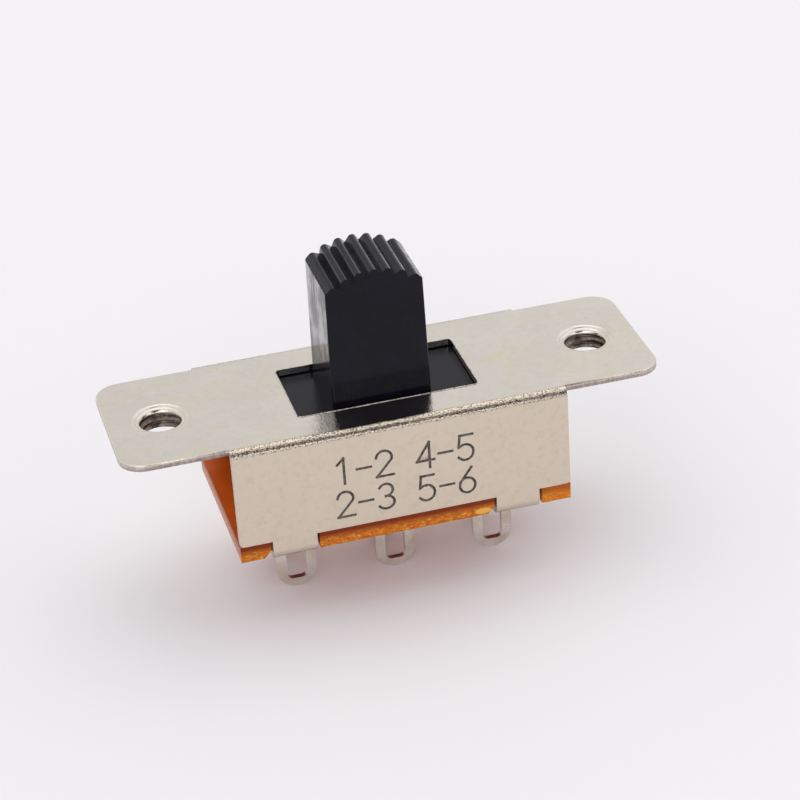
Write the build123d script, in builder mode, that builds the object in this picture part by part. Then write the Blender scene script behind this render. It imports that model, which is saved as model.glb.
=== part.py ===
from build123d import *
import math
import os

# A two-pole slide switch for panel mounting. Millimetres, +Z up, +X along the plate and the
# knob's travel, -Y towards the viewer. The origin is on the plate's top face, halfway between
# its two threaded holes.

# Folded sheet frame
sheet = 0.4                     # thickness of the nickel-plated steel
plate_width = 10.8
ear_corner_radius = 1.6
die_roll = 0.1                  # rounding that the punch leaves along the plate's top edges
hole_pitch = 28.0
ear_reach = 3.4                 # from a threaded hole's centre to the end of its ear
thread_radius = 1.5             # M3, at the root of the thread
collar_wall = 0.35              # wall of the drawn collar outside the thread
collar_depth = 1.4              # from the plate's top face to the collar's lower end
collar_entry_radius = 0.35      # rounded mouth that drawing the collar leaves
slot_length = 11.7
slot_width = 6.3
slot_corner_radius = 0.25
flap_length = 21.6
case_width = 12.0               # over the outer faces of the two flaps
flap_drop = 6.8                 # from the plate's top face to the flaps' lower edges
flap_corner_radius = 0.25
bend_radius = 0.6               # outside radius of the two long folds

# Crimp tabs on the flaps
tab_width = 2.85
tab_pitch = 14.6
tab_reach = 1.9                 # how far a tab lies in under the board
tab_bend_radius = 0.8
tab_corner_cut = 0.6

# Terminal board, flush with the flaps all round
board_thickness = 1.1
notch_clearance = 0.15
notch_bevel = 0.35              # room for the inside of the tab's bend
notch_breakout = 0.45           # corner that the punch tears off one side of each notch
slit_clearance = 0.05

# Terminals, stamped from strip and bent over on the board
strip = 0.4
terminal_pitch = 6.6
row_spacing = 3.8               # between the middle planes of the two rows of lugs
lug_width = 2.6
lug_drop = 5.1                  # from the board's underside to the lug's tip
eye_width = 1.3
eye_length = 3.0
eye_corner_radius = 0.35
eye_rim = 0.6                   # metal left under the eye
neck_width = 2.0
pad_reach = 2.7                 # length of the contact pad, with the neck's thickness
pad_bevel = 0.12
neck_bend_radius = 0.3          # outside radius of the bend from the neck to the pad

# Knob
knob_length = 6.4               # along the travel, at the plate
knob_depth = 5.4                # across the travel, at the plate
knob_draft = 0.6                # degrees
knob_edge_radius = 0.15
knob_height = 9.0               # from the plate's top face to the middle ridge
crown_radius = 4.95
ridge_count = 7
ridge_radius = 0.3              # rounding along the top of each ridge
ridge_pitch = 0.98              # along the crown
ridge_slope = 55.0              # degrees, of a ridge's two flanks
valley_depth = 0.48
shoulder_slope = 45.0           # degrees, from the outer ridges down to the side faces

# Carriage under the plate, one moulding with the knob
carriage_top_clearance = 0.1
carriage_side_clearance = 0.2
slot_cover = 0.05               # by which the carriage still covers the slot's end at full travel
carriage_plate = 1.2            # thickness of its upper, slot-covering part
carriage_corner_radius = 0.3
block_clearance = 0.3           # between its block's underside and the contact pads
block_end_wall = 1.6            # from a pocket's end to the block's end
block_side_wall = 0.75          # from a pocket's side to the block's side
pocket_depth = 1.2
pocket_end_clearance = 0.25     # between a moving contact's end and its pocket
pocket_side_clearance = 0.15    # between a moving contact's side and its pocket
spring_side_clearance = 0.15    # between a spring and its bore
travel_margin = 0.05            # left at each end of the travel
rest_position = -0.3            # where the knob stands, counted from mid travel

# Moving contacts and their springs
bridge_strip = 0.3
bridge_width = 1.9
bridge_overhang = 1.05          # from a dimple's centre to the strip's end
bridge_lift = 0.05              # between the dimples and the plane of the contact pads
bridge_end_rise = 0.5
bridge_end_run = 0.45
dimple_depth = 0.45
dimple_radius = 0.75            # radius of the dimple's rim
dent_clearance = 0.3            # metal left round the dent on a dimple's upper side
spring_wire_radius = 0.1
spring_wire_sides = 6           # the wire's round section is drawn with flats
spring_radius = 0.8             # to the middle of the wire
spring_turns = 3
spring_length = 2.85
spring_end_clearance = 0.05     # at each end of a spring

# Lengths, heights and places that follow from the sizes above
plate_length = hole_pitch + 2 * ear_reach
board_top = -flap_drop
board_bottom = board_top - board_thickness
tab_underside = board_bottom - sheet
pad_top = board_top + strip
carriage_top = -sheet - carriage_top_clearance
carriage_width = case_width - 2 * (sheet + carriage_side_clearance)
block_bottom = pad_top + block_clearance
pocket_roof = block_bottom + pocket_depth
bridge_underside = pad_top + bridge_lift + dimple_depth
bridge_top = bridge_underside + bridge_strip
spring_bottom = bridge_top + spring_end_clearance
spring_bore_top = spring_bottom + spring_length + spring_end_clearance
spring_bore_radius = spring_radius + spring_wire_radius + spring_side_clearance
contact_row = row_spacing / 2 - strip / 2 + pad_reach / 2
bridge_length = terminal_pitch + 2 * bridge_overhang
pocket_length = bridge_length + 2 * pocket_end_clearance
pocket_width = bridge_width + 2 * pocket_side_clearance
block_length = pocket_length + 2 * block_end_wall
block_width = 2 * (contact_row + block_side_wall) + pocket_width
travel_each_way = (slot_length - knob_length) / 2 - travel_margin
carriage_length = slot_length + 2 * (travel_each_way + slot_cover)
travel_left = -travel_each_way - rest_position
travel_right = travel_each_way - rest_position
print(f"travel from rest: {travel_left:.2f} to {travel_right:.2f} mm")

os.makedirs("parts", exist_ok=True)


# One crimp tab, at the middle of the front flap: straight down through the board's notch, then
# bent in flat under the board, with its two tip corners cut off.
with BuildPart() as tab:
    with BuildSketch(Plane.YZ.offset(-tab_width / 2)):
        with BuildLine():
            FilletPolyline(
                (-case_width / 2, -flap_drop + bend_radius),
                (-case_width / 2, tab_underside),
                (-case_width / 2 + tab_reach, tab_underside),
                radius=tab_bend_radius,
            )
            offset(amount=sheet, side=Side.LEFT)
        make_face()
    extrude(amount=tab_width)
    tip_corners = tab.edges().filter_by(Axis.Z).group_by(Axis.Y)[-1]
    chamfer(tip_corners, tab_corner_cut)


# Frame: the plate with its ears, the two flaps folded down from it, and the crimp tabs.
rear_tab = tab.part.mirror(Plane.XZ)
with BuildPart() as frame:
    with BuildSketch(Plane.XY.offset(-sheet)):
        RectangleRounded(plate_length, plate_width, ear_corner_radius)
    extrude(amount=sheet)
    fillet(frame.faces().sort_by(Axis.Z)[-1].edges(), die_roll)
    with BuildSketch(Plane.YZ.offset(-flap_length / 2)):
        with BuildLine():
            FilletPolyline(
                (-case_width / 2, -flap_drop),
                (-case_width / 2, 0),
                (case_width / 2, 0),
                (case_width / 2, -flap_drop),
                radius=bend_radius,
            )
            offset(amount=sheet, side=Side.RIGHT)
        make_face()
    extrude(amount=flap_length)
    flap_corners = frame.edges().filter_by(Axis.Y).group_by(Axis.Z)[0]
    fillet(flap_corners, flap_corner_radius)
    with Locations((-tab_pitch / 2, 0), (tab_pitch / 2, 0)):
        add(tab.part)
        add(rear_tab)

    # slot for the knob
    with BuildSketch(Plane.XY.offset(-sheet)):
        RectangleRounded(slot_length, slot_width, slot_corner_radius)
    extrude(amount=sheet, mode=Mode.SUBTRACT)

    # threaded holes, drawn down into collars with a rounded mouth
    with Locations((-hole_pitch / 2, 0), (hole_pitch / 2, 0)):
        Cylinder(
            thread_radius + collar_wall, collar_depth, align=(Align.CENTER, Align.CENTER, Align.MAX)
        )
        Hole(thread_radius, collar_depth)
    bore_rims = frame.edges().filter_by(GeomType.CIRCLE).filter_by(
        lambda e: abs(e.radius - thread_radius) < 1e-6
    )
    fillet(bore_rims.group_by(Axis.Z)[-1], collar_entry_radius)
frame.part.label = "frame"
export_step(frame.part, "parts/frame.step")


# Terminal board: laminate with four edge notches for the crimp tabs and six slits for the
# terminals' necks.
notch_width = tab_width + 2 * notch_clearance
notch_depth = sheet + notch_clearance
with BuildPart() as terminal_board:
    with BuildSketch(Plane.XY.offset(board_bottom)):
        Rectangle(flap_length, case_width)
        with GridLocations(tab_pitch, case_width - notch_depth, 2, 2):
            Rectangle(notch_width, notch_depth, mode=Mode.SUBTRACT)
        with GridLocations(terminal_pitch, row_spacing, 3, 2):
            Rectangle(
                neck_width + 2 * slit_clearance, strip + 2 * slit_clearance, mode=Mode.SUBTRACT
            )
    extrude(amount=board_thickness)
    lower_edges = terminal_board.edges().group_by(Axis.Z)[0]
    notch_wall_y = case_width / 2 - notch_depth
    notch_walls = lower_edges.filter_by(Axis.X).filter_by(
        lambda e: abs(abs(e.center().Y) - notch_wall_y) < 1e-6
    )
    chamfer(notch_walls, notch_bevel)
    for wall_place in (notch_wall_y, -case_width / 2):
        with BuildSketch(Plane.XZ.offset(wall_place)):
            for side in (-1, 1):
                corner_x = side * tab_pitch / 2 - notch_width / 2
                with BuildLine():
                    Polyline(
                        (corner_x, board_bottom),
                        (corner_x - notch_breakout, board_bottom),
                        (corner_x, board_bottom + notch_breakout),
                        close=True,
                    )
                make_face()
        extrude(amount=notch_depth, mode=Mode.SUBTRACT)
terminal_board.part.label = "terminal_board"
export_step(terminal_board.part, "parts/terminal_board.step")


# Terminal: a solder lug with a long eye under the board, a neck through the board's slit, and
# the neck's end bent over on top of the board as a contact pad. It is made at the middle of the
# front row, standing on the plane y = 0, and the pad points to -Y.
with BuildPart() as terminal:
    with BuildSketch(Plane.XZ.offset(-strip / 2)):
        with Locations((0, board_bottom)):
            Rectangle(lug_width, lug_drop - lug_width / 2, align=(Align.CENTER, Align.MAX))
        with Locations((0, board_bottom - lug_drop + lug_width / 2)):
            Circle(lug_width / 2)
        with Locations((0, board_bottom - lug_drop + eye_rim + eye_length / 2)):
            RectangleRounded(eye_width, eye_length, eye_corner_radius, mode=Mode.SUBTRACT)
    extrude(amount=strip)
    with BuildSketch(Plane.YZ.offset(-neck_width / 2)):
        with BuildLine():
            Polyline(
                (strip / 2, board_bottom),
                (strip / 2, pad_top),
                (strip / 2 - pad_reach, pad_top),
                (strip / 2 - pad_reach, board_top),
                (-strip / 2, board_top),
                (-strip / 2, board_bottom),
                close=True,
            )
        make_face()
    extrude(amount=neck_width)
    neck_bend = terminal.edges().filter_by(Axis.X).group_by(Axis.Z)[-1].sort_by(Axis.Y)[-1]
    fillet(neck_bend, neck_bend_radius)
    pad_rim = terminal.faces().filter_by(Axis.Z).sort_by(Axis.Z)[-1].edges().filter_by(Axis.Y)
    chamfer(pad_rim, pad_bevel)

number = 1
for turn, row_y in ((0, -row_spacing / 2), (180, row_spacing / 2)):
    for column in (-1, 0, 1):
        piece = terminal.part.moved(Location((column * terminal_pitch, row_y, 0), (0, 0, turn)))
        piece.label = f"terminal_{number}"
        export_step(piece, f"parts/terminal_{number}.step")
        number += 1


# One ridge of the knob's crown, pointing to +X: a round top round the origin, and two flanks
# that leave it at a tangent and run down to the valleys.
flank = math.radians(ridge_slope)
flank_rise = ridge_radius * math.cos(flank)
flank_half_width = ridge_radius * math.sin(flank)
valley_foot = ridge_radius - valley_depth
valley_half_width = flank_half_width + (flank_rise - valley_foot) / math.tan(flank)
with BuildSketch() as ridge:
    Circle(ridge_radius)
    with BuildLine():
        Polyline(
            (flank_rise, -flank_half_width),
            (valley_foot, -valley_half_width),
            (valley_foot, valley_half_width),
            (flank_rise, flank_half_width),
            close=True,
        )
    make_face()

# Knob and carriage: one moulding. The knob has a little draft, and its crown is a row of
# ridges across the travel, set on an arc. The carriage is a plate that keeps the slot covered,
# and a block with a pocket for each moving contact and a bore for its spring.
with BuildPart() as slide_knob:
    with BuildSketch(Plane.XY.offset(carriage_top)):
        Rectangle(knob_length, knob_depth)
    extrude(amount=knob_height - carriage_top + ridge_radius, taper=knob_draft)
    knob_corners = slide_knob.edges().filter_by(lambda e: abs((e @ 1 - e @ 0).Z) > knob_height / 2)
    fillet(knob_corners, knob_edge_radius)

    crown_centre = knob_height - crown_radius
    ridge_circle = crown_radius - ridge_radius
    crown_angle = math.degrees((ridge_count - 1) * ridge_pitch / crown_radius)
    outer_tilt = math.radians(crown_angle / 2)
    outer_x = ridge_circle * math.sin(outer_tilt)
    outer_z = crown_centre + ridge_circle * math.cos(outer_tilt)
    slope = math.radians(shoulder_slope)
    shoulder_x = outer_x + ridge_radius * math.sin(slope)
    shoulder_z = outer_z + ridge_radius * math.cos(slope)
    side_x = knob_length / 2
    side_z = shoulder_z - (side_x - shoulder_x) * math.tan(slope)
    with BuildSketch(Plane.XZ) as crown:
        with Locations((0, crown_centre)):
            Circle(crown_radius - valley_depth)
            Rectangle(knob_length, crown_centre - carriage_top, align=(Align.CENTER, Align.MAX))
            with PolarLocations(
                ridge_circle, ridge_count, 90 - crown_angle / 2, crown_angle, endpoint=True
            ):
                add(ridge.sketch)
        with BuildLine():
            Polyline(
                (outer_x, outer_z),
                (shoulder_x, shoulder_z),
                (side_x, side_z),
                (side_x, crown_centre),
                (outer_x, crown_centre),
                close=True,
            )
        make_face()
        mirror(about=Plane.YZ)
    extrude(amount=knob_depth, both=True, mode=Mode.INTERSECT)

    with BuildSketch(Plane.XY.offset(carriage_top)):
        RectangleRounded(carriage_length, carriage_width, carriage_corner_radius)
    extrude(amount=-carriage_plate)
    with BuildSketch(Plane.XY.offset(block_bottom)):
        Rectangle(block_length, block_width)
    extrude(amount=carriage_top - carriage_plate - block_bottom)
    with BuildSketch(Plane.XY.offset(block_bottom)):
        with GridLocations(0, 2 * contact_row, 1, 2):
            Rectangle(pocket_length, pocket_width)
    extrude(amount=pocket_depth, mode=Mode.SUBTRACT)
    with BuildSketch(Plane.XY.offset(pocket_roof)):
        with GridLocations(0, 2 * contact_row, 1, 2):
            Circle(spring_bore_radius)
    extrude(amount=spring_bore_top - pocket_roof, mode=Mode.SUBTRACT)
knob_piece = slide_knob.part.moved(Location((rest_position, 0, 0)))
knob_piece.label = "slide_knob"
export_step(knob_piece, "parts/slide_knob.step")


# Moving contact: a strip with turned-up ends and two round dimples, one terminal pitch apart,
# which slide over the contact pads and join two of them.
dimple_sphere = (dimple_radius**2 + dimple_depth**2) / (2 * dimple_depth)
with BuildPart() as contact_bridge:
    with BuildSketch(Plane.XZ.offset(-bridge_width / 2)):
        with BuildLine():
            Polyline(
                (-bridge_length / 2, bridge_underside + bridge_end_rise),
                (-bridge_length / 2 + bridge_end_run, bridge_underside),
                (bridge_length / 2 - bridge_end_run, bridge_underside),
                (bridge_length / 2, bridge_underside + bridge_end_rise),
            )
            offset(amount=bridge_strip, side=Side.LEFT)
        make_face()
    extrude(amount=bridge_width)
    for dimple_x in (-terminal_pitch / 2, terminal_pitch / 2):
        with BuildSketch(Plane.XZ):
            with BuildLine():
                Line((dimple_x, bridge_underside - dimple_depth), (dimple_x, bridge_underside))
                Line((dimple_x, bridge_underside), (dimple_x + dimple_radius, bridge_underside))
                RadiusArc(
                    (dimple_x + dimple_radius, bridge_underside),
                    (dimple_x, bridge_underside - dimple_depth),
                    dimple_sphere,
                )
            make_face()
        revolve(axis=Axis((dimple_x, 0, 0), (0, 0, 1)))
        with Locations((dimple_x, 0, bridge_top)):
            Cone(
                0,
                dimple_radius - dent_clearance,
                dimple_depth,
                align=(Align.CENTER, Align.CENTER, Align.MAX),
                mode=Mode.SUBTRACT,
            )


# Contact spring: an open coil of round wire between the moving contact and its bore's end.
coil_height = spring_length - 2 * spring_wire_radius
with BuildPart() as contact_spring:
    with BuildLine() as coil:
        Helix(
            coil_height / spring_turns,
            coil_height,
            spring_radius,
            center=(0, 0, spring_bottom + spring_wire_radius),
        )
    with BuildSketch(Plane(origin=coil.line @ 0, z_dir=coil.line % 0)):
        RegularPolygon(spring_wire_radius, spring_wire_sides)
    sweep(path=coil.line, is_frenet=True)

for row, row_y in (("front", -contact_row), ("rear", contact_row)):
    place = Location((rest_position, row_y, 0))
    bridge_piece = contact_bridge.part.moved(place)
    bridge_piece.label = f"contact_bridge_{row}"
    export_step(bridge_piece, f"parts/contact_bridge_{row}.step")
    spring_piece = contact_spring.part.moved(place)
    spring_piece.label = f"contact_spring_{row}"
    export_step(spring_piece, f"parts/contact_spring_{row}.step")
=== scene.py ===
# %% [markdown]
# # A panel slide switch on a white table
# The CAD model gives the switch its exact shapes. This lesson dresses it: real finishes for the
# plated steel, the laminate board, the solder lugs and the black knob, screw threads in the two
# collars, engraved contact numbers, a pale table and soft studio light. Sizes are in
# millimetres, and the one number MM turns them to the scene's metres.

# %% Load the CAD frame
import math
import bmesh
import bpy
import numpy as np
from mathutils import Matrix, Vector


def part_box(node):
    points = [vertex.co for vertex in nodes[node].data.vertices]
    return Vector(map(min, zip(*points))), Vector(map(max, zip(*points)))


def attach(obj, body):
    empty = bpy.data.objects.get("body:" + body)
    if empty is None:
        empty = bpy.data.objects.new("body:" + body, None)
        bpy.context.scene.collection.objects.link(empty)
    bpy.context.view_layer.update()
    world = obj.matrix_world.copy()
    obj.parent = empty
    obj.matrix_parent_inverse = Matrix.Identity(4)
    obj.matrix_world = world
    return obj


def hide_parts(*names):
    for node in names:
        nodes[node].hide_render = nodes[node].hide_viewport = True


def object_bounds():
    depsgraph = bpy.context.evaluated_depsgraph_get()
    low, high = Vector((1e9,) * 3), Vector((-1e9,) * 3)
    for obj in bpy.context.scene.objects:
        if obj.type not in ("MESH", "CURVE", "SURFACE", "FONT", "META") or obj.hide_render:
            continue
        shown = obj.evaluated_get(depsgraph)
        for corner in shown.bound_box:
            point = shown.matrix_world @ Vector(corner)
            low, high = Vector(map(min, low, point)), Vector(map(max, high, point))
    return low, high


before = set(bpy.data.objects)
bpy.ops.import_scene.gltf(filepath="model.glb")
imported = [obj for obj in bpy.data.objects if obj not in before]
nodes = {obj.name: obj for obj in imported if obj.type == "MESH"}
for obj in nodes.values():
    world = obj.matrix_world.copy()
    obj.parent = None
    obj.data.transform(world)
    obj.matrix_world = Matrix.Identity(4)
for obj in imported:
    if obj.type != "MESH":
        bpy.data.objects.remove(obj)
cad_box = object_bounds()
MM = 0.001
print("CAD box", cad_box)

# %% [markdown]
# ## The camera
# The photograph was taken from the front left and above with a long lens, so parallel edges hardly
# converge. A camera could be turned by eye until the picture looks right, but small errors would
# then spoil every comparison. So its place, its three turns and its focal length come from lining
# up known corners of the switch, such as those of the slot, the ears and the flap. A camera looks
# along its own -Z, so its matrix has the right, up and backward directions as columns.

# %% Camera
camera_place = Vector((-33.589, -143.786, 83.059)) * MM
camera_heading = math.radians(13.705)       # from +Y towards +X
camera_tilt = math.radians(-29.882)         # below the horizon
camera_roll = math.radians(3.867)           # its right side turned down
focal_length = 120.014                      # on a sensor 36 mm wide

forward = Vector(
    (
        math.sin(camera_heading) * math.cos(camera_tilt),
        math.cos(camera_heading) * math.cos(camera_tilt),
        math.sin(camera_tilt),
    )
)
level_right = Vector((math.cos(camera_heading), -math.sin(camera_heading), 0))
level_up = level_right.cross(forward)
right = level_right * math.cos(camera_roll) - level_up * math.sin(camera_roll)
up = level_up * math.cos(camera_roll) + level_right * math.sin(camera_roll)

camera = bpy.data.objects.new("camera", bpy.data.cameras.new("camera"))
camera.data.lens = focal_length
camera.data.sensor_width = 36.0
camera.data.sensor_fit = "HORIZONTAL"
camera.data.clip_start = 0.01
camera.matrix_world = Matrix((right, up, -forward)).transposed().to_4x4()
camera.location = camera_place
bpy.context.scene.collection.objects.link(camera)
bpy.context.scene.camera = camera
print("camera looks along", [round(x, 3) for x in forward])


# %% [markdown]
# ## Helpers for materials
# Every finish below is a tree of nodes. Each node could be made, set and linked line by line, but
# then the recipe would drown in wiring. So one function adds any node with its settings, and takes
# its inputs as plain values, hex colours or other nodes. Colours are written as sRGB hex values,
# as read off a colour chart, and one function turns them to the linear values that the shader
# works in.

# %% Colours and nodes
def linear(colour):
    """sRGB hex to linear RGBA: each channel is divided by 12.92 near black, and otherwise has
    0.055 added, is divided by 1.055 and raised to the power 2.4."""
    channels = np.array([int(colour[i : i + 2], 16) for i in (1, 3, 5)]) / 255
    low, high = channels / 12.92, ((channels + 0.055) / 1.055) ** 2.4
    return (*np.where(channels <= 0.04045, low, high), 1.0)


def join(tree, node, inputs):
    """Sets a node's inputs, by name or place. An output is linked, and so is the first output of
    another node. A hex colour is made linear, and any other value is set as it is."""
    for name, value in inputs.items():
        if isinstance(value, bpy.types.Node):
            value = value.outputs[0]
        if isinstance(value, bpy.types.NodeSocket):
            tree.links.new(value, node.inputs[name])
        else:
            plain = linear(value) if isinstance(value, str) else value
            node.inputs[name].default_value = plain


def add(tree, kind, inputs=(), **settings):
    """Adds one node to the tree, with its settings, and its inputs by name or in their order."""
    node = tree.nodes.new("ShaderNode" + kind)
    for name, value in settings.items():
        setattr(node, name, value)
    join(tree, node, inputs if isinstance(inputs, dict) else dict(enumerate(inputs)))
    return node


print("white is", linear("#FFFFFF"), "and middle grey", round(linear("#808080")[0], 3))


# %% [markdown]
# Three things come back in most finishes: a fresh material, a place on the piece in millimetres,
# and colours laid over each other. Object coordinates are used for the place, because they stay
# with the piece when it moves, where window or camera coordinates would slide over it.

# %% Material, place and coats
def new_material(name):
    """A material with its tree cleared to one Principled shader and the output."""
    material = bpy.data.materials.new(name)
    material.use_nodes = True
    tree = material.node_tree
    tree.nodes.clear()
    shader = add(tree, "BsdfPrincipled")
    add(tree, "OutputMaterial", {"Surface": shader})
    return material, tree, shader


def place_on_piece(tree, stretch=(1, 1, 1)):
    """Object coordinates in millimetres, each axis divided by its stretch, so that a pattern is
    drawn out along the axes with a large stretch."""
    where = add(tree, "TexCoord").outputs["Object"]
    return add(tree, "Mapping", {"Vector": where, "Scale": tuple(1 / (MM * s) for s in stretch)})


def coats(tree, colour, *layers):
    """Lays colours over a first one. Each layer is a share from 0 to 1, and the colour that takes
    that share of what lies below it."""
    for share, over in layers:
        colour = add(tree, "Mix", {0: share, 6: colour, 7: over}, data_type="RGBA").outputs[2]
    return colour


print("a pattern's Scale is one over the width of its blobs in millimetres")

# %% [markdown]
# ## Nickel plate
# The frame is cold-rolled steel strip, folded and then plated with nickel in a tumbling barrel. It
# is bright, but it follows the strip's fine unevenness, so reflections are soft. Handling and
# rinsing leave a cloudy mottle a few millimetres wide, a little yellow in places, and the
# tumbling leaves short fine marks. A painted picture could show all this, but layered noise has
# no seams over the folds and stays sharp close up, so three noises of different widths are laid
# over each other. The front flap is more flecked than the plate, and its warmer tone is a painted
# reflection of the warm shaded table in front of it.
# The dark line where each tab folds in under the board is painted shade in that fold.

# %% Nickel-plated steel: colour
nickel, tree, nickel_shader = new_material("nickel_plated_steel")
where = place_on_piece(tree)
split = add(tree, "SeparateXYZ", [where])
across, height = split.outputs["Y"], split.outputs["Z"]
cloud = add(
    tree,
    "TexNoise",
    {"Vector": where, "Scale": 1 / 3.5, "Detail": 4, "Roughness": 0.6, "Distortion": 0.6},
)
stain = add(
    tree,
    "TexNoise",
    {
        "Vector": place_on_piece(tree, (2.2, 1, 1)),
        "Scale": 1 / 2.4,
        "Detail": 3,
        "Distortion": 1.0,
    },
)
fleck = add(tree, "TexNoise", {"Vector": where, "Scale": 1 / 0.45, "Detail": 4, "Roughness": 0.7})
on_front_flap = add(tree, "MapRange", [across, -5.3, -5.5])
fleck_share = add(tree, "MapRange", [on_front_flap, 0, 1, 0.15, 0.35])
flecked = add(
    tree, "Math", [add(tree, "MapRange", [fleck, 0.5, 0.7]), fleck_share], operation="MULTIPLY"
)
plate_colour = coats(
    tree,
    "#DCD6CC",
    (add(tree, "MapRange", [cloud, 0.35, 0.65]), "#D5D0C7"),
    (add(tree, "MapRange", [stain, 0.5, 0.75, 0, 0.6]), "#DAD2B8"),
    # painted reflection: the front flap is tinted warmer, for the warm shaded table that it
    # mirrors
    (on_front_flap, "#D8CBB8"),
    (flecked, "#BFB29F"),
    # painted shade: a dark line along the fold of each tab under the board
    (add(tree, "MapRange", [height, -7.9, -8.2, 0, 0.8]), "#4A4038"),
)
cloudy = add(tree, "MapRange", [cloud, 0.3, 0.7, 0.13, 0.2])
join(tree, nickel_shader, {"Metallic": 1.0, "Roughness": cloudy})
print(nickel.name, "starts from", len(tree.nodes), "nodes")

# %% [markdown]
# Folding stretches the outside of the sheet until its grain stands up, and the plating keeps that
# roughness: the two long folds sparkle. The fine burr round the slot does the same. Real dents
# there would need a very dense mesh, so a finer, deeper bump and small dark spots of painted
# shade, for the shade inside the dents, are used, only where the sheet folds or the burr stands
# up. Elsewhere the bump is a gentle wave. Steel's grain is about 0.03 mm wide, too fine to show,
# so it is drawn 0.16 mm wide, and its pits 0.11 mm.

# %% Nickel-plated steel: grain
far_across = add(tree, "Math", [across], operation="ABSOLUTE")
on_fold = add(
    tree,
    "Math",
    [add(tree, "MapRange", [far_across, 5.3, 5.5]), add(tree, "MapRange", [height, -0.5, -0.4])],
    operation="MULTIPLY",
)
on_burr = add(tree, "MapRange", [height, 0.0, 0.01])
grainy = add(tree, "Math", [on_fold, on_burr], operation="MAXIMUM")
grain = add(tree, "TexNoise", {"Vector": where, "Scale": 1 / 0.16, "Detail": 3, "Roughness": 0.65})
wave = add(tree, "TexNoise", {"Vector": where, "Scale": 1 / 0.9, "Detail": 3})
grain_depth = add(tree, "MapRange", [grainy, 0, 1, 0.012, 0.028])
relief = add(tree, "Math", [grain, grain_depth], operation="MULTIPLY")
relief = add(tree, "Math", [wave, 0.022, relief], operation="MULTIPLY_ADD")
bump = add(tree, "Bump", {"Height": relief, "Strength": 1.0, "Distance": 1.0 * MM})
pitting = add(
    tree, "TexNoise", {"Vector": where, "Scale": 1 / 0.11, "Detail": 2, "Roughness": 0.7}
)
# painted shade: dark spots for the shade in dents, only on the folds and the burr
pit_shade = add(tree, "MapRange", [pitting, 0.5, 0.6, 0, 0.75])
pit_shade = add(tree, "Math", [pit_shade, grainy], operation="MULTIPLY")
plate_colour = coats(tree, plate_colour, (pit_shade, "#4E463E"))
join(tree, nickel_shader, {"Base Color": plate_colour, "Normal": bump})
print(nickel.name, "ends with", len(tree.nodes), "nodes")

# %% [markdown]
# ## Where the sheet was cut
# The tap cut through the plating, so the thread is bare, darker steel with a little oil left in
# its grooves. The punched edges are a bright sheared band with fine marks in the punch's
# direction, plated like the rest, and scatter light more, so they look paler and pinker. The
# floor of an engraved stroke keeps dirt and oxide: it is dull and dark, and uneven along the
# stroke. One finish with masks could serve all three, but each has faces of its own, so three
# small materials are simpler.

# %% Tapped thread
tapped, tree, shader = new_material("tapped_thread")
oil = add(tree, "TexNoise", {"Vector": place_on_piece(tree), "Scale": 1 / 0.3, "Detail": 3})
bare = coats(tree, "#8E8177", (add(tree, "MapRange", [oil, 0.35, 0.65]), "#5F544C"))
join(tree, shader, {"Base Color": bare, "Metallic": 1.0, "Roughness": 0.3})
print(tapped.name, "has", len(tree.nodes), "nodes")

# %% Cut edge of the sheet
cut_edge, tree, shader = new_material("plated_cut_edge")
upright = place_on_piece(tree, (1, 1, 4))
drag = add(tree, "TexNoise", {"Vector": upright, "Scale": 1 / 0.14, "Detail": 3, "Roughness": 0.6})
cut = coats(tree, "#DCCFC8", (add(tree, "MapRange", [drag, 0.35, 0.7]), "#B3A69F"))
bump = add(tree, "Bump", {"Height": drag, "Strength": 0.5, "Distance": 0.02 * MM})
join(tree, shader, {"Base Color": cut, "Metallic": 1.0, "Roughness": 0.5, "Normal": bump})
print(cut_edge.name, "has", len(tree.nodes), "nodes")

# %% Engraved stroke
engraved, tree, shader = new_material("engraved_stroke")
dirt = add(tree, "TexNoise", {"Vector": place_on_piece(tree), "Scale": 1 / 0.2, "Detail": 3})
tone = coats(tree, "#4A443F", (add(tree, "MapRange", [dirt, 0.35, 0.65]), "#7B746C"))
join(tree, shader, {"Base Color": tone, "Metallic": 0.6, "Roughness": 0.55})
print(engraved.name, "has", len(tree.nodes), "nodes")

# %% [markdown]
# ## Phenolic laminate
# The board is layers of paper pressed with phenolic resin, and punched while warm. Its pressed
# faces are glossy, orange to red-brown, with fibres that all lie along the sheet, and the lower
# face is browner. Single fibres could be drawn, but only their streaks show, so they are a noise
# drawn out six times along X. Paper fibres are about 0.03 mm thick, too fine to show, so they are
# drawn 0.12 mm wide. The skin of cured resin is smooth, and its IOR, from 1.5 to 1.6 for such
# resins, came down a little to match its soft shine.

# %% Laminate faces
laminate, tree, shader = new_material("phenolic_laminate")
where = place_on_piece(tree)
height = add(tree, "SeparateXYZ", [where]).outputs["Z"]
shade = add(tree, "TexNoise", {"Vector": where, "Scale": 1 / 4.0, "Detail": 2})
lengthwise = place_on_piece(tree, (6, 1, 1))
fibre = add(
    tree, "TexNoise", {"Vector": lengthwise, "Scale": 1 / 0.12, "Detail": 3, "Roughness": 0.6}
)
face = coats(
    tree,
    "#FA6C04",
    (add(tree, "MapRange", [shade, 0.3, 0.7]), "#E65C03"),
    (add(tree, "MapRange", [fibre, 0.45, 0.8, 0, 0.3]), "#B04A06"),
    # painted shade: the lower face is darker and browner, so the light it bounces down leaves a
    # darker, browner shadow on the table under the board
    (add(tree, "MapRange", [height, -7.7, -7.9, 0, 0.7]), "#8A4012"),
)
bump = add(tree, "Bump", {"Height": fibre, "Strength": 0.2, "Distance": 0.01 * MM})
join(tree, shader, {"Base Color": face, "Roughness": 0.3, "IOR": 1.45, "Normal": bump})
print(laminate.name, "has", len(tree.nodes), "nodes")
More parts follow.
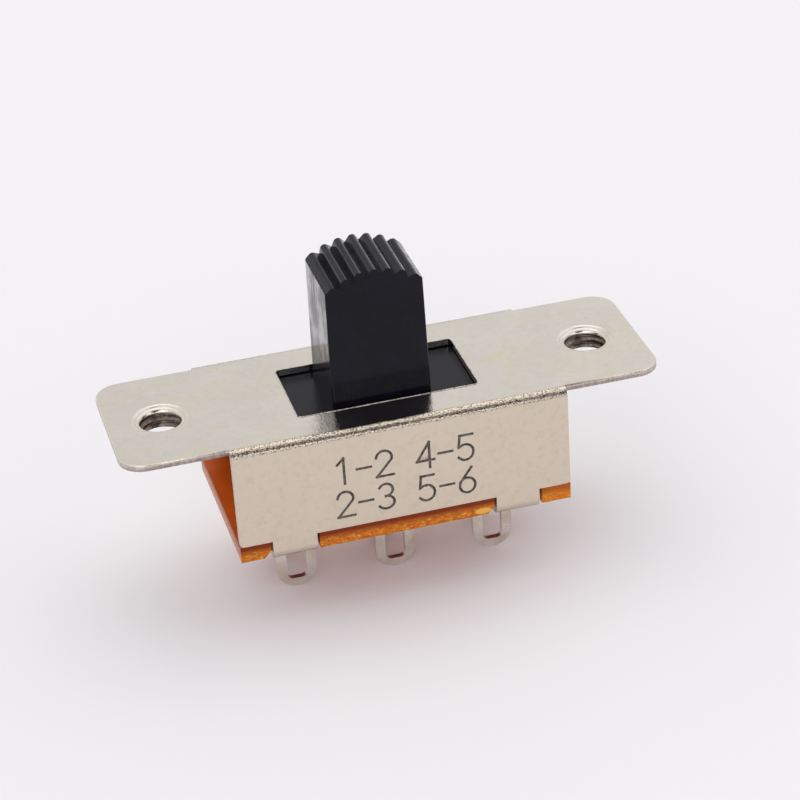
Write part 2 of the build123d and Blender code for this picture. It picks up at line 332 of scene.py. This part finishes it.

# %% [markdown]
# A punched edge shows the torn paper layers, grainy golden brown. A darker band along the top of
# every punched edge is painted shadow, for the shade under the frame's flaps. Two noises make the
# layers and the crumbs, and the crumbs also make the band's lower border uneven. One larger crumb
# has chipped off beside a tab and shows the pale inside: a stretched ball round one point marks
# it, because a noise would put it anywhere.

# %% Laminate edges: colour
torn_edge, tree, torn_shader = new_material("laminate_punched_edge")
where = place_on_piece(tree)
split = add(tree, "SeparateXYZ", [where])
flat_stretch, crumb_stretch = (5, 5, 1), (1.6, 1.6, 1)
layers, crumbs = (
    add(
        tree,
        "TexNoise",
        {
            "Vector": place_on_piece(tree, stretch),
            "Scale": 1 / width,
            "Detail": 4,
            "Roughness": roughness,
        },
    )
    for stretch, width, roughness in ((flat_stretch, 0.1, 0.65), (crumb_stretch, 0.16, 0.7))
)
board_low, board_high = (corner[2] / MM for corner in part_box("terminal_board"))
ragged_shadow_height = add(tree, "Math", [crumbs, 0.35, split.outputs["Z"]], operation="MULTIPLY_ADD")
chip_middle = Vector((4.95, -6.0, -7.6))
chip_size = Vector((0.55, 0.3, 0.2))
apart = add(tree, "VectorMath", [where, chip_middle], operation="SUBTRACT")
apart = add(tree, "VectorMath", [apart, chip_size], operation="DIVIDE")
apart = add(tree, "VectorMath", [apart], operation="LENGTH").outputs["Value"]
edge = coats(
    tree,
    "#DC7C0E",
    (add(tree, "MapRange", [layers, 0.35, 0.65]), "#A04A06"),
    (add(tree, "MapRange", [crumbs, 0.52, 0.68, 0, 0.8]), "#F2B850"),
    # painted shadow: the top of each punched edge is darker, for the shade under the flaps
    (add(tree, "MapRange", [ragged_shadow_height, board_high - 0.5, board_high - 0.05]), "#7A2A04"),
    # painted light: the board's right end, past x = 8.4 mm, is drawn a lighter orange
    (add(tree, "MapRange", [split.outputs["X"], 8.4, 9.2, 0, 0.3]), "#F08A24"),
    (add(tree, "MapRange", [apart, 1.15, 0.85]), "#E8B048"),
)
join(tree, torn_shader, {"Base Color": edge})
print("board from", round(board_low, 2), "to", round(board_high, 2), "mm")

# %% [markdown]
# The torn fibres scatter light, so the edge is rough and its mirror part is weak. Seen at a low
# angle, the resin between them still shines. A coat that comes in with Layer Weight's Facing gives
# that, and stays the same for every camera.

# %% Laminate edges: gloss
facing = add(tree, "LayerWeight", {"Blend": 0.5}).outputs["Facing"]
torn = add(tree, "Math", [layers, crumbs], operation="ADD")
bump = add(tree, "Bump", {"Height": torn, "Strength": 0.6, "Distance": 0.05 * MM})
gloss = {
    "Roughness": 0.6,
    "IOR": 1.55,
    "Specular IOR Level": 0.2,
    "Coat Weight": add(tree, "MapRange", [facing, 0.6, 0.8, 0, 0.7]),
    "Coat Roughness": 0.35,
    "Normal": bump,
}
join(tree, torn_shader, gloss)
print(torn_edge.name, "has", len(tree.nodes), "nodes")

# %% [markdown]
# ## Lugs, contacts and springs
# The lugs are half-hard brass strip with a thin coat of silver: a soft, pale satin that warms a
# little where it tarnishes. Inside the eyes, the rims that look up are painted brown: a painted
# reflection of the orange board's shaded underside above them. They could be faces with a
# material of their own, but they differ from the rest only in where they look, so the surface's
# own direction picks them out, below the board only.

# %% Silvered brass
silvered, tree, shader = new_material("silvered_brass")
where = place_on_piece(tree)
height = add(tree, "SeparateXYZ", [where]).outputs["Z"]
tarnish = add(tree, "TexNoise", {"Vector": where, "Scale": 1 / 1.3, "Detail": 3, "Roughness": 0.6})
rolled = add(
    tree, "TexNoise", {"Vector": place_on_piece(tree, (1, 1, 8)), "Scale": 1 / 0.1, "Detail": 2}
)
looks = add(tree, "SeparateXYZ", [add(tree, "NewGeometry").outputs["True Normal"]])
# painted reflection: rims in the eyes that look up are brown, for the board's underside that they
# mirror
rim_reflection = add(
    tree,
    "Math",
    [
        add(tree, "MapRange", [height, -8.6, -9.0]),
        add(tree, "MapRange", [looks.outputs["Z"], 0.4, 0.8]),
    ],
    operation="MULTIPLY",
)
silver = coats(
    tree,
    "#E6E1DA",
    (add(tree, "MapRange", [tarnish, 0.4, 0.75]), "#C9BCA6"),
    (rim_reflection, "#7C4A3C"),
)
satin = add(tree, "MapRange", [tarnish, 0.3, 0.7, 0.26, 0.4])
bump = add(tree, "Bump", {"Height": rolled, "Strength": 0.3, "Distance": 0.01 * MM})
join(tree, shader, {"Base Color": silver, "Metallic": 1.0, "Roughness": satin, "Normal": bump})
print(silvered.name, "has", len(tree.nodes), "nodes")

# %% [markdown]
# The moving contacts are bright rolled bronze strip, with the roll's marks along it. The springs
# are drawn wire, a little mottled by the drawing soap. Both are hidden inside the case, so they
# get one noise each, in the metal's colour.

# %% Contact bronze and spring wire
hidden_metals = (
    ("contact_bronze", (10, 1, 1), 0.08, "#D9B87A", "#C29A5C", 0.25),
    ("drawn_spring_wire", (1, 1, 1), 0.06, "#B9B8B6", "#8F8D8B", 0.3),
)
metals = []
for name, stretch, width, bright, dim, roughness in hidden_metals:
    metal, tree, shader = new_material(name)
    mark = add(
        tree,
        "TexNoise",
        {"Vector": place_on_piece(tree, stretch), "Scale": 1 / width, "Detail": 3},
    )
    tone = coats(tree, bright, (add(tree, "MapRange", [mark, 0.35, 0.7]), dim))
    join(tree, shader, {"Base Color": tone, "Metallic": 1.0, "Roughness": roughness})
    metals.append(metal)
bronze, spring_wire = metals
print("hidden metals", [metal.name for metal in metals])

# %% [markdown]
# ## Black moulding
# The knob and its carriage are one moulding in black thermoplastic. The mould's steel was polished
# along the knob, so its sides have faint upright streaks, which show where a side mirrors the
# bright plate and room at a low angle. From the front the plastic hardly shines. One plain gloss
# would make the front grey or the sides black, so the body's mirror part is turned down, and a
# coat comes in at low angles, broken up by the streaks. Near the slot, where dust dulls it, the
# coat stops. The polishing scratches are far finer than the 0.16 mm that they are drawn.

# %% Black moulding
moulding, tree, shader = new_material("black_moulding")
where = place_on_piece(tree)
height = add(tree, "SeparateXYZ", [where]).outputs["Z"]
drawn_up = place_on_piece(tree, (1, 1, 14))
streak = add(
    tree, "TexNoise", {"Vector": drawn_up, "Scale": 1 / 0.16, "Detail": 3, "Roughness": 0.6}
)
patch = add(tree, "TexNoise", {"Vector": where, "Scale": 1 / 1.6, "Detail": 3})
black = coats(tree, "#101018", (add(tree, "MapRange", [patch, 0.35, 0.7]), "#15151E"))
facing = add(tree, "LayerWeight", {"Blend": 0.5}).outputs["Facing"]
smear = add(tree, "Math", [streak, patch], operation="ADD")
sheen = add(tree, "MapRange", [facing, 0.55, 0.8])
for source, low, high, least in ((smear, 0.9, 1.1, 0.02), (height, 1.5, 3.5, 0.0)):
    share = add(tree, "MapRange", [source, low, high, least, 1.0])
    sheen = add(tree, "Math", [sheen, share], operation="MULTIPLY")
skin = {
    "Base Color": black,
    "IOR": 1.5,
    "Specular IOR Level": 0.15,
    "Roughness": add(tree, "Math", [streak, 0.2, 0.04], operation="MULTIPLY_ADD"),
    "Coat Weight": sheen,
    "Coat Roughness": 0.12,
    "Normal": add(tree, "Bump", {"Height": streak, "Strength": 0.8, "Distance": 0.02 * MM}),
}
join(tree, shader, skin)
print(moulding.name, "has", len(tree.nodes), "nodes")


# %% [markdown]
# ## Meshes from numpy
# A new surface is a grid of points: one parameter runs along it and one round it. Blender's own
# tools could model the same shapes by hand, but a grid says in one formula where each point is,
# and can be changed by its sizes. The helper joins neighbours to quads, closes the grid along,
# round or with flat ends where it is asked to, and turns the faces outwards.

# %% Grid helpers
def grid_faces(points, start=0, closed_along=False, closed_round=False, capped=False):
    """Faces of a grid of points with the shape (along, round, 3), numbered from start. Each quad
    joins a point to its neighbours along and round. The volume inside is a sixth of the sum of
    each triangle's first corner times the cross product of the other two, and where it comes out
    negative the faces are turned round."""
    index = np.arange(points.shape[0] * points.shape[1]).reshape(points.shape[:2])
    if closed_along:
        index = np.vstack([index, index[:1]])
    if closed_round:
        index = np.hstack([index, index[:, :1]])
    quads = np.stack([index[:-1, :-1], index[1:, :-1], index[1:, 1:], index[:-1, 1:]], -1)
    quads = quads.reshape(-1, 4)
    flat = points.reshape(-1, 3)
    a, b, c, d = (flat[quads[:, corner]] - flat.mean(0) for corner in range(4))
    volume = ((a * np.cross(b, c)).sum() + (a * np.cross(c, d)).sum()) / 6
    index = index + start
    faces = (quads + start).tolist()
    if capped:
        faces += [index[0, :-1].tolist(), index[-1, -2::-1].tolist()]
    return [face[::-1] for face in faces] if volume < 0 else faces


def new_mesh(name, points, faces):
    """A smooth mesh from points in millimetres and their faces."""
    mesh = bpy.data.meshes.new(name)
    mesh.from_pydata(points.reshape(-1, 3) * MM, [], faces)
    mesh.polygons.foreach_set("use_smooth", np.ones(len(mesh.polygons), bool))
    mesh.update()
    return mesh


square = np.array([[(0, 0, 0), (1, 0, 0)], [(0, 1, 0), (1, 1, 0)]], float)
print("a grid of four points has the face", grid_faces(square))


# %% [markdown]
# Each new piece is linked, gets its finishes, and rides on one of the CAD's bodies, so it moves
# with it. Faces are sorted into finishes by where they are and which way they look, read from the
# mesh as whole arrays.

# %% Piece helpers
def put(name, mesh, body, slot, *materials):
    """Links a new piece, gives it its materials, and lets it ride on a body."""
    piece = bpy.data.objects.new(name, mesh)
    bpy.context.scene.collection.objects.link(piece)
    mesh.materials.clear()
    for material in materials:
        mesh.materials.append(material)
    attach(piece, body)
    return piece


def face_facts(mesh):
    """Each face's centre in millimetres and its normal, as arrays."""
    centres, normals = np.zeros((2, len(mesh.polygons) * 3))
    mesh.polygons.foreach_get("center", centres)
    mesh.polygons.foreach_get("normal", normals)
    return centres.reshape(-1, 3) / MM, normals.reshape(-1, 3)


def choose_materials(mesh, numbers):
    """Gives each face the number of its material in the mesh's list."""
    mesh.polygons.foreach_set("material_index", numbers.astype(np.int32))


# %% [markdown]
# ## Screw threads
# Each ear's hole is drawn down into a collar and tapped M3. The tap cuts a groove that winds down
# the wall at 0.5 mm a turn, with 60 degree flanks, and leaves sharp crests that catch the light.
# A bump would leave the hole's rim a plain circle, so the turns are real: a lining whose inner
# side is the rounded mouth and then the thread, and whose outer side is sunk in the collar's
# wall. The CAD bore is at the thread's root, so the lining fits inside it.

# %% Thread profile
hole_pitch = 28.0
root_radius = 1.5
crest_radius = 1.26
root_clearance = 0.02           # between the thread's root and the CAD bore
thread_pitch = 0.5
lining_top = -0.1
mouth_radius = 1.64             # where the lining leaves the rounding of the plate
mouth_end = -0.42               # below this the thread begins
lining_bottom = -1.38
sunk = 0.03                     # how far the lining's outer side lies in the collar's wall
outer_top = -0.32               # upper end of that outer side
flank_gain, crest_flat = 1.3, 0.15      # steepness of the flanks, and the flat they leave
run_in_start, run_in = 0.06, 0.1        # the groove deepens over this height below the mouth

turn = np.linspace(0, 2 * math.pi, 96, endpoint=False)[None, :]
level = np.linspace(lining_top, lining_bottom, 90)[:, None]
down = np.clip((lining_top - level) / (lining_top - mouth_end), 0, 1)
mouth = crest_radius + (mouth_radius - crest_radius) * (1 - np.sqrt(1 - (1 - down) ** 2))
# A triangle wave from 0 to 1, once for each pitch, that moves down by one pitch in a turn.
wave = np.abs(((level / thread_pitch + turn / (2 * math.pi)) % 1) - 0.5) * 2
groove = np.clip(flank_gain * wave - crest_flat, 0, 1)
deepening = np.clip((mouth_end + run_in_start - level) / run_in, 0, 1)
inner = mouth + (root_radius - root_clearance - crest_radius) * groove * deepening
outer = np.full((2, turn.size), root_radius + sunk)
radius = np.vstack([inner, outer])
heights = np.vstack([level, [[lining_bottom], [outer_top]]]) + 0 * turn
lining = np.stack([radius * np.cos(turn), radius * np.sin(turn), heights], axis=-1)
print("thread turns", round((mouth_end - lining_bottom) / thread_pitch, 2))

# %% Threads
cut_by_tap_below = mouth_end + 0.03
for side, name in ((-1, "thread_left"), (1, "thread_right")):
    points = lining + np.array([side * hole_pitch / 2, 0, 0])
    mesh = new_mesh(name, points, grid_faces(points, closed_along=True, closed_round=True))
    mesh.set_sharp_from_angle(angle=math.radians(50))
    put(name, mesh, "switch_case", "nickel_plated_steel", nickel, tapped)
    centres, normals = face_facts(mesh)
    choose_materials(mesh, centres[:, 2] < cut_by_tap_below)
    print(name, "has", len(mesh.polygons), "faces")

# %% [markdown]
# ## The burr round the slot
# The punch leaves a fine raised burr along the slot's upper edge, which shows as a bright
# sparkling line. A bright line in the colour would not catch the light, so it is a thin bead
# carried along the slot's rounded rectangle. Its thickness swells and thins a little on the way,
# by two sine waves that never fall in step.

# %% Path of the burr
slot_half = np.array([5.85, 3.15])      # half the slot's length and width
slot_corner = 0.25
burr_radius = 0.045
burr_seat = 0.6                 # share of its radius by which the bead's middle is off the edge
corner_points_each, run_points = 7, 24

corner_signs = np.array([(1, 1), (-1, 1), (-1, -1), (1, -1)])
quarter = np.radians(np.linspace(0, 90, corner_points_each))
angle = quarter[None, :] + math.pi / 2 * np.arange(4)[:, None]
outward = np.stack([np.cos(angle), np.sin(angle)], -1)
centre = corner_signs[:, None] * (slot_half - slot_corner)
corners = centre + outward * (slot_corner + burr_radius * burr_seat)
# A straight run leads from each corner's last point to the next corner's first.
start, end = corners[:, -1:], np.roll(corners[:, :1], -1, axis=0)
run = start + (end - start) * np.linspace(0, 1, run_points, endpoint=False)[None, :, None]
path = np.concatenate([corners[:, :-1], run], axis=1).reshape(-1, 2)
run_outward = np.repeat(outward[:, -1:], run_points, axis=1)
sides = np.concatenate([outward[:, :-1], run_outward], axis=1).reshape(-1, 2)
print("burr path of", len(path), "points")

# %% Slot burr
section = np.linspace(0, 2 * math.pi, 8, endpoint=False)[None, :]
along = np.arange(len(path))[:, None]
swell = burr_radius * (1 + 0.25 * np.sin(along * 1.7) * np.sin(along * 0.61 + 1))
flat_part = path[:, None] + sides[:, None] * (swell * np.cos(section))[..., None]
burr = np.concatenate([flat_part, (swell * np.sin(section))[..., None]], axis=-1)
mesh = new_mesh("slot_burr", burr, grid_faces(burr, closed_along=True, closed_round=True))
put("slot_burr", mesh, "switch_case", "nickel_plated_steel", nickel)
print("slot_burr has", len(mesh.polygons), "faces")


# %% [markdown]
# ## The engraving
# The front flap carries four plain contact pairs, the terminals that the two knob positions join,
# engraved with a fine cutter. A font would give outlines with thick and thin parts, where a
# cutter leaves a groove of one width. So each character is a few centre lines, straight or on
# an ellipse, and a rod along each line is cut out of the flap.

# %% Characters as centre lines
def arc(centre_x, centre_y, radius_x, radius_y, start, end, count=14):
    """Points on an ellipse: the centre plus the radii times the cosine and sine of each angle."""
    turn = np.radians(np.linspace(start, end, count))
    return np.stack([centre_x + radius_x * np.cos(turn), centre_y + radius_y * np.sin(turn)], -1)


cell_height = 1.6
strokes = {                     # in a cell 0 to 1 wide and 0 to cell_height high
    "1": [[(0.2, 1.25), (0.55, 1.6)], [(0.55, 1.6), (0.55, 0)]],
    "2": [np.vstack([arc(0.5, 1.15, 0.45, 0.45, 170, -20), [(0.05, 0)]]), [(0.05, 0), (0.98, 0)]],
    "3": [arc(0.48, 1.2, 0.4, 0.4, 150, -90), arc(0.48, 0.41, 0.46, 0.41, 90, -150)],
    "4": [[(0.75, 1.6), (0.02, 0.45)], [(0.02, 0.45), (1, 0.45)], [(0.75, 1.6), (0.75, 0)]],
    "5": [
        [(0.9, 1.6), (0.18, 1.6)],
        [(0.18, 1.6), (0.1, 0.86)],
        arc(0.47, 0.5, 0.47, 0.5, 130, -145),
    ],
    "6": [[(0.76, 1.6), (0.1, 0.72)], arc(0.5, 0.48, 0.45, 0.48, 150, 510, 24)],
    "-": [[(0.12, 0.75), (0.88, 0.75)]],
}
print("characters drawn", "".join(strokes))


# %% Rod along a stroke
def rod(line, radius, sides=8):
    """A thin closed rod along a line in the flap's plane: at each point, a circle across the
    line's direction, which is the mean of the runs on both sides. The ends go one radius on."""
    runs = np.diff(line, axis=0)
    runs /= np.linalg.norm(runs, axis=1)[:, None]
    along = np.vstack([runs[:1], runs[:-1] + runs[1:], runs[-1:]])
    along /= np.linalg.norm(along, axis=1)[:, None]
    line = line.copy()
    line[0] -= along[0] * radius
    line[-1] += along[-1] * radius
    across = np.stack([-along[:, 1], along[:, 0]], -1)
    turn = np.linspace(0, 2 * math.pi, sides, endpoint=False)
    flat = line[:, None] + across[:, None] * (radius * np.cos(turn))[None, :, None]
    lift = np.broadcast_to(radius * np.sin(turn), flat.shape[:2])
    return np.stack([flat[..., 0], lift, flat[..., 1]], -1)


print("a rod's points", rod(np.array([(0.0, 0.0), (0.0, 1.0)]), 0.1).shape)

# %% Engraving rods
character_height = 1.8
character_step = 1.32           # from one character's left to the next one's
last_width = 0.9                # of the last character, in cell widths
stroke_width = 0.2
groove_depth = 0.07
rows = (("1-2 4-5", -1.8), ("2-3 5-6", -4.2))   # words and their upper edge's height
flap_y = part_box("frame")[0][1] / MM
enlarge = character_height / cell_height

cutter_points, cutter_faces = np.zeros((0, 3)), []
for words, top in rows:
    width = character_step * (len(words) - 1) + enlarge * last_width
    for place, character in enumerate(words):
        for stroke in strokes.get(character, []):
            line = np.array(stroke) * enlarge
            line = line + (place * character_step - width / 2, top - character_height)
            surface = rod(line, stroke_width / 2)
            surface[..., 1] += flap_y - stroke_width / 2 + groove_depth
            cutter_faces += grid_faces(
                surface, len(cutter_points), closed_round=True, capped=True
            )
            cutter_points = np.vstack([cutter_points, surface.reshape(-1, 3)])
print("engraving cutter", len(cutter_points), "points,", len(cutter_faces), "faces")

# %% [markdown]
# ## The dressed frame
# The CAD's own mesh is loose triangles and is never changed, so the frame is dressed on a copy
# whose double vertices are merged. Its cut edges are picked by place and direction: the ears'
# outer edges, the flaps' upright sides and their feet, but not the walls of the holes.

# %% Copy of a CAD piece, merged
def dressed_copy(node, name):
    """A copy of a CAD node's mesh with its double vertices merged."""
    mesh = nodes[node].data.copy()
    mesh.name = name
    work = bmesh.new()
    work.from_mesh(mesh)
    bmesh.ops.remove_doubles(work, verts=work.verts, dist=0.0005 * MM)
    work.to_mesh(mesh)
    work.free()
    return mesh


sheet = 0.4
flap_foot = -6.8
flap_half_length = 10.8
flap_inside = 4.0               # the flaps lie further out than this
collar_reach = 2.2              # nothing of a collar lies further from its hole's middle

frame_mesh = dressed_copy("frame", "plated_frame")
plated_frame = put(
    "plated_frame", frame_mesh, "switch_case", "nickel_plated_steel", nickel, cut_edge, engraved
)
centres, normals = face_facts(frame_mesh)
x, y, z = centres.T
in_plate = z > -sheet - 0.01
ear_edge = in_plate & (np.abs(normals[:, 2]) < 0.3) & (np.abs(x) > flap_half_length)
flap_side = (np.abs(normals[:, 0]) > 0.7) & (z < -sheet) & (np.abs(y) > flap_inside)
foot = (normals[:, 2] < -0.7) & (np.abs(z - flap_foot) < 0.02)
in_hole = np.hypot(np.abs(x) - hole_pitch / 2, y) < collar_reach
cut_faces = (ear_edge | flap_side | foot) & ~in_hole
choose_materials(frame_mesh, cut_faces)
print("cut faces", int(cut_faces.sum()), "of", len(cut_faces))

# %% [markdown]
# A groove could be drawn as a dark line, but a real one has walls that catch light on one side.
# The boolean cuts the rods out of the flap, and the rods' faces bring the third material, the
# engraved one. The result is applied, because a pattern on object coordinates needs a finished
# mesh. Then the flat faces lead the shading, so the small faces round the strokes don't bend it.

# %% Engrave the flap
cutter_mesh = new_mesh("engraving", cutter_points, cutter_faces)
for material in (nickel, cut_edge, engraved):
    cutter_mesh.materials.append(material)
choose_materials(cutter_mesh, np.full(len(cutter_faces), 2))
cutter = bpy.data.objects.new("engraving", cutter_mesh)
bpy.context.scene.collection.objects.link(cutter)

cut = plated_frame.modifiers.new("engrave", "BOOLEAN")
cut.operation = "DIFFERENCE"
cut.solver = "EXACT"
cut.use_self = True
cut.object = cutter
bpy.context.view_layer.update()
graph = bpy.context.evaluated_depsgraph_get()
finished = bpy.data.meshes.new_from_object(plated_frame.evaluated_get(graph))
plated_frame.modifiers.clear()
plated_frame.data = finished
bpy.data.objects.remove(cutter)

finished.polygons.foreach_set("use_smooth", np.ones(len(finished.polygons), bool))
finished.set_sharp_from_angle(angle=math.radians(28))
weights = plated_frame.modifiers.new("flat faces lead", "WEIGHTED_NORMAL")
weights.keep_sharp = True
weights.weight = 90
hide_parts("frame")
print("frame faces", len(finished.polygons))

# %% [markdown]
# ## The board and the other pieces
# A copy of the CAD board gets two finishes. Its pressed faces look up or down, and every other
# face was punched, so one test of the normal tells them apart. The lugs, the knob, the contacts
# and the springs have the right shape already and one finish each, so they keep their own CAD
# meshes and only get a material.

# %% The dressed board
board_mesh = dressed_copy("terminal_board", "laminate_board")
laminate_board = put(
    "laminate_board", board_mesh, "switch_case", "phenolic_laminate", laminate, torn_edge
)
centres, normals = face_facts(board_mesh)
punched = np.abs(normals[:, 2]) < 0.9
choose_materials(board_mesh, punched)
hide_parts("terminal_board")
print("punched faces", int(punched.sum()), "of", len(punched))

# %% The other CAD pieces
finishes = {
    "terminal_": silvered,
    "slide_knob": moulding,
    "contact_bridge": bronze,
    "contact_spring": spring_wire,
}
for name, node in nodes.items():
    for start, material in finishes.items():
        if name.startswith(start) and name != "terminal_board":
            node.data.materials.clear()
            node.data.materials.append(material)
            print(name, "is", material.name)

# %% [markdown]
# ## The table
# The switch stands on its lugs on a white table that fills the picture and keeps its soft shadow.
# The picture's pale background is this table's own colour, not extra light. It could be a curved
# backdrop, but the camera looks down and never sees the table's end, so one large flat sheet does.

# %% Table
table_height = cad_box[0][2]
half = 0.6                      # in metres
corners = [(-half, -half), (half, -half), (half, half), (-half, half)]
mesh = bpy.data.meshes.new("table")
mesh.from_pydata([(*corner, table_height) for corner in corners], [], [(0, 1, 2, 3)])
table = bpy.data.objects.new("table", mesh)
bpy.context.scene.collection.objects.link(table)
paper, tree, shader = new_material("white_table")
tone = add(tree, "TexNoise", {"Vector": place_on_piece(tree), "Scale": 1 / 60.0, "Detail": 1})
join(tree, shader, {"Base Color": coats(tree, "#F0EFF0", (tone, "#F2F1F2")), "Roughness": 0.75})
mesh.materials.append(paper)
print("table at", round(table_height / MM, 2), "mm")

# %% [markdown]
# ## The light
# The photograph's shadow is soft and short, and falls a little to the right, so no single lamp
# stands out: the light comes from all round, as in a room with white walls. A few area lamps
# could do it, but polished metal mirrors each lamp as a hard patch. So the room itself shines:
# the world's brightness depends on the direction, with a value for each wall low down and higher
# up and one for the ceiling. The wall behind the camera is the brightest, which opens the shadow
# in front. The wall behind the switch sets how bright the plate looks, because the plate mirrors
# it. One weak soft box above and behind is left, for a soft glint.

# %% Soft box
lamp = bpy.data.lights.new("top_box", "AREA")
lamp.shape = "RECTANGLE"
lamp.size, lamp.size_y = 180 * MM, 140 * MM
lamp.energy = 0.02
holder = bpy.data.objects.new("top_box", lamp)
holder.location = Vector((20, 90, 290)) * MM
holder.rotation_euler = (-holder.location).to_track_quat("-Z", "Y").to_euler()
bpy.context.scene.collection.objects.link(holder)
print("soft box", round(holder.location.length / MM), "mm from the switch")

# %% [markdown]
# The colour comes first: a little greyer in front than behind, with one dark round patch for
# what stands beside the camera. The long front fold mirrors that patch as a dark line next to a
# bright one, which is what makes it look like polished metal. Each wall's share of a direction is
# the square of the direction's part towards it, over the squares of both level parts, so the
# four shares add up to one, with no corner between two walls.

# %% The room
world = bpy.data.worlds.new("room")
bpy.context.scene.world = world
world.use_nodes = True
tree = world.node_tree
way = add(tree, "TexCoord").outputs["Generated"]
split = add(tree, "SeparateXYZ", [way])
level = split.outputs["Z"]
camera_way = Vector((0.2, -0.66, 0.72)).normalized()
near_camera = add(tree, "VectorMath", [way, camera_way], operation="DOT_PRODUCT")
room = coats(
    tree,
    "#C4C3C6",
    (add(tree, "MapRange", [split.outputs["Y"], -0.3, 0.5]), "#EFEDEE"),
    (add(tree, "MapRange", [near_camera.outputs["Value"], 0.9, 0.965]), "#1C1C20"),
)

ceiling = 1.62
walls = (                       # axis, side, brightness low down, and higher up
    ("Y", -1, 1.3, 4.9),        # behind the camera
    ("Y", 1, 1.15, 0.98),       # behind the switch
    ("X", -1, 0.8, 1.3),        # left
    ("X", 1, 0.8, 1.6),         # right
)
steep = add(tree, "Math", [level, level], operation="MULTIPLY")
flat = add(tree, "Math", [1.0001, steep], operation="SUBTRACT")     # never zero overhead
strength = 0.0
for axis, side, low, high in walls:
    share = add(tree, "Math", [split.outputs[axis], side], operation="MULTIPLY")
    share = add(tree, "Math", [share, 0.0], operation="MAXIMUM")
    share = add(tree, "Math", [share, 2.0], operation="POWER")
    share = add(tree, "Math", [share, flat], operation="DIVIDE")
    wall = add(tree, "MapRange", [level, 0.25, 0.45, low, high])
    strength = add(tree, "Math", [share, wall, strength], operation="MULTIPLY_ADD")
overhead = add(tree, "MapRange", [level, 0.7, 0.9])
strength = add(tree, "Mix", {0: overhead, 2: strength, 3: ceiling})
join(tree, tree.nodes["Background"], {"Color": room, "Strength": strength})
bpy.context.scene.view_settings.view_transform = "Standard"
print("room of", len(walls), "walls,", len(tree.nodes), "nodes")
